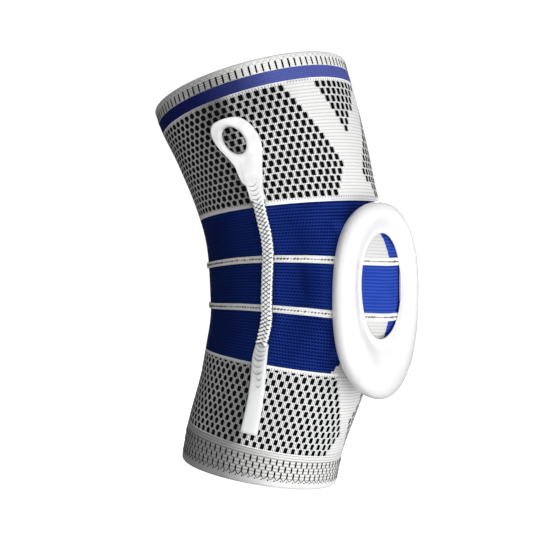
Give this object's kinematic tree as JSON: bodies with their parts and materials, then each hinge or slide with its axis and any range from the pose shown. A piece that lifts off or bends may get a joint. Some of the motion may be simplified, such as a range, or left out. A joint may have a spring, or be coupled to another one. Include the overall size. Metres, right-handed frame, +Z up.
{
  "type": "knee brace",
  "caption": "Knitted tubular knee brace, bent as worn, with a silicone ring round the kneecap and a flat coil stay with an eyelet head down each side.",
  "frame": {"origin": "the middle of the knee, on the leg's axis at the height of the kneecap", "axes": "+Z up the leg, -Y towards the front of the knee, so -X is the wearer's right side"},
  "size_m": [0.1432, 0.186, 0.3068],
  "materials": {
    "cuff_knit": "light grey ribbed elastic knit",
    "mesh_knit": "white knit with rows of small black cells",
    "blue_knit": "royal blue elastic knit in fine cross ribs",
    "white_knit": "white knit, raised rib",
    "silicone": "milky white glossy silicone",
    "stay_plastic": "polished white plastic",
    "stay_coil": "white coated flat coil",
    "stay_tape": "translucent white sleeve tape"
  },
  "bodies": {
    "root": {"upper_cuff": "cuff_knit", "upper_stripe": "blue_knit", "thigh_sleeve": "mesh_knit", "knee_panel_upper": "blue_knit", "knee_rib_upper": "white_knit", "knee_panel_middle": "blue_knit", "knee_rib_lower": "white_knit", "knee_panel_lower": "blue_knit", "calf_sleeve": "mesh_knit", "lower_cuff": "cuff_knit", "patella_ring": "silicone", "stay_right_head": "stay_plastic", "stay_right_coil": "stay_coil", "stay_right_tail": "stay_tape", "stay_left_head": "stay_plastic", "stay_left_coil": "stay_coil", "stay_left_tail": "stay_tape"}
  },
  "joints": []
}
